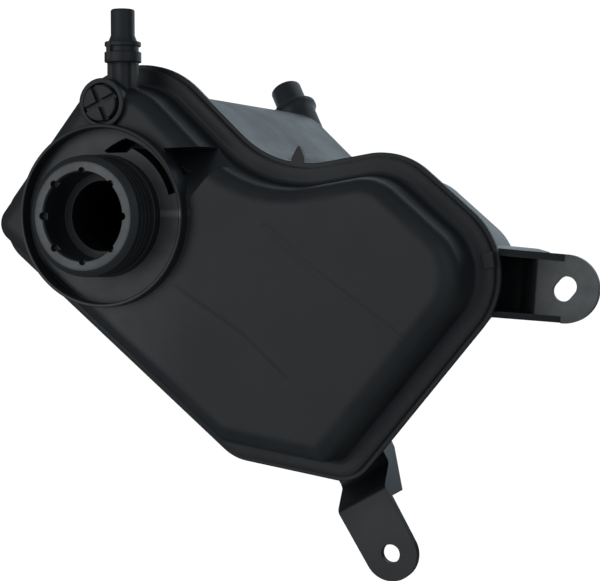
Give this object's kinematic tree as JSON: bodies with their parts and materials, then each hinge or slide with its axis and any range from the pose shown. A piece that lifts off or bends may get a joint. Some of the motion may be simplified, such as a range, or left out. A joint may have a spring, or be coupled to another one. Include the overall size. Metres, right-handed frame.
{
  "type": "coolant expansion tank",
  "caption": "Black moulded coolant expansion tank: welded dome and tall tub, threaded filler neck in a drip tray, bleed screw, hose connections and two bolt ears.",
  "frame": {"origin": "axis of the round bolt hole at the rear (mounting) face of its ear", "axes": "+Z along the filler neck's axis and out of its mouth, up when the tank is fitted; +Y the way the bleed hose connection points; +X completes the right hand and runs towards the slotted ear"},
  "size_m": [0.2761, 0.2461, 0.2499],
  "materials": {
    "front_plastic": "satin moulded glass-filled plastic",
    "rear_plastic": "satin moulded glass-filled plastic",
    "screw_plastic": "satin",
    "seal_rubber": "matt",
    "float_plastic": "natural matt",
    "ferrite": "ground ferrite"
  },
  "bodies": {
    "tank": {"front_shell": "front_plastic", "rear_shell": "rear_plastic", "float_cap": "float_plastic"},
    "bleed_seal": {"bleed_screw_seal": "seal_rubber"},
    "bleed_screw": {"bleed_screw": "screw_plastic"},
    "float": {"level_float": "float_plastic", "float_magnet": "ferrite"}
  },
  "joints": [
    {"name": "bleed_rise", "type": "slide", "parent": "tank", "child": "bleed_seal", "axis": [0, 0, 1], "range_m": [0, 0.003]},
    {"name": "bleed_turn", "type": "hinge", "parent": "bleed_seal", "child": "bleed_screw", "pos_m": [-0.1205, 0.1933, 0.0395], "axis": [0, 0, 1], "range_deg": [0, 720.5]},
    {"name": "float_rise", "type": "slide", "parent": "tank", "child": "float", "axis": [0, 0, 1], "range_m": [0, 0.033]}
  ],
  "couplings": [
    {"joint": "bleed_turn", "follows": "bleed_rise", "rad_per_m": 4188.8}
  ]
}
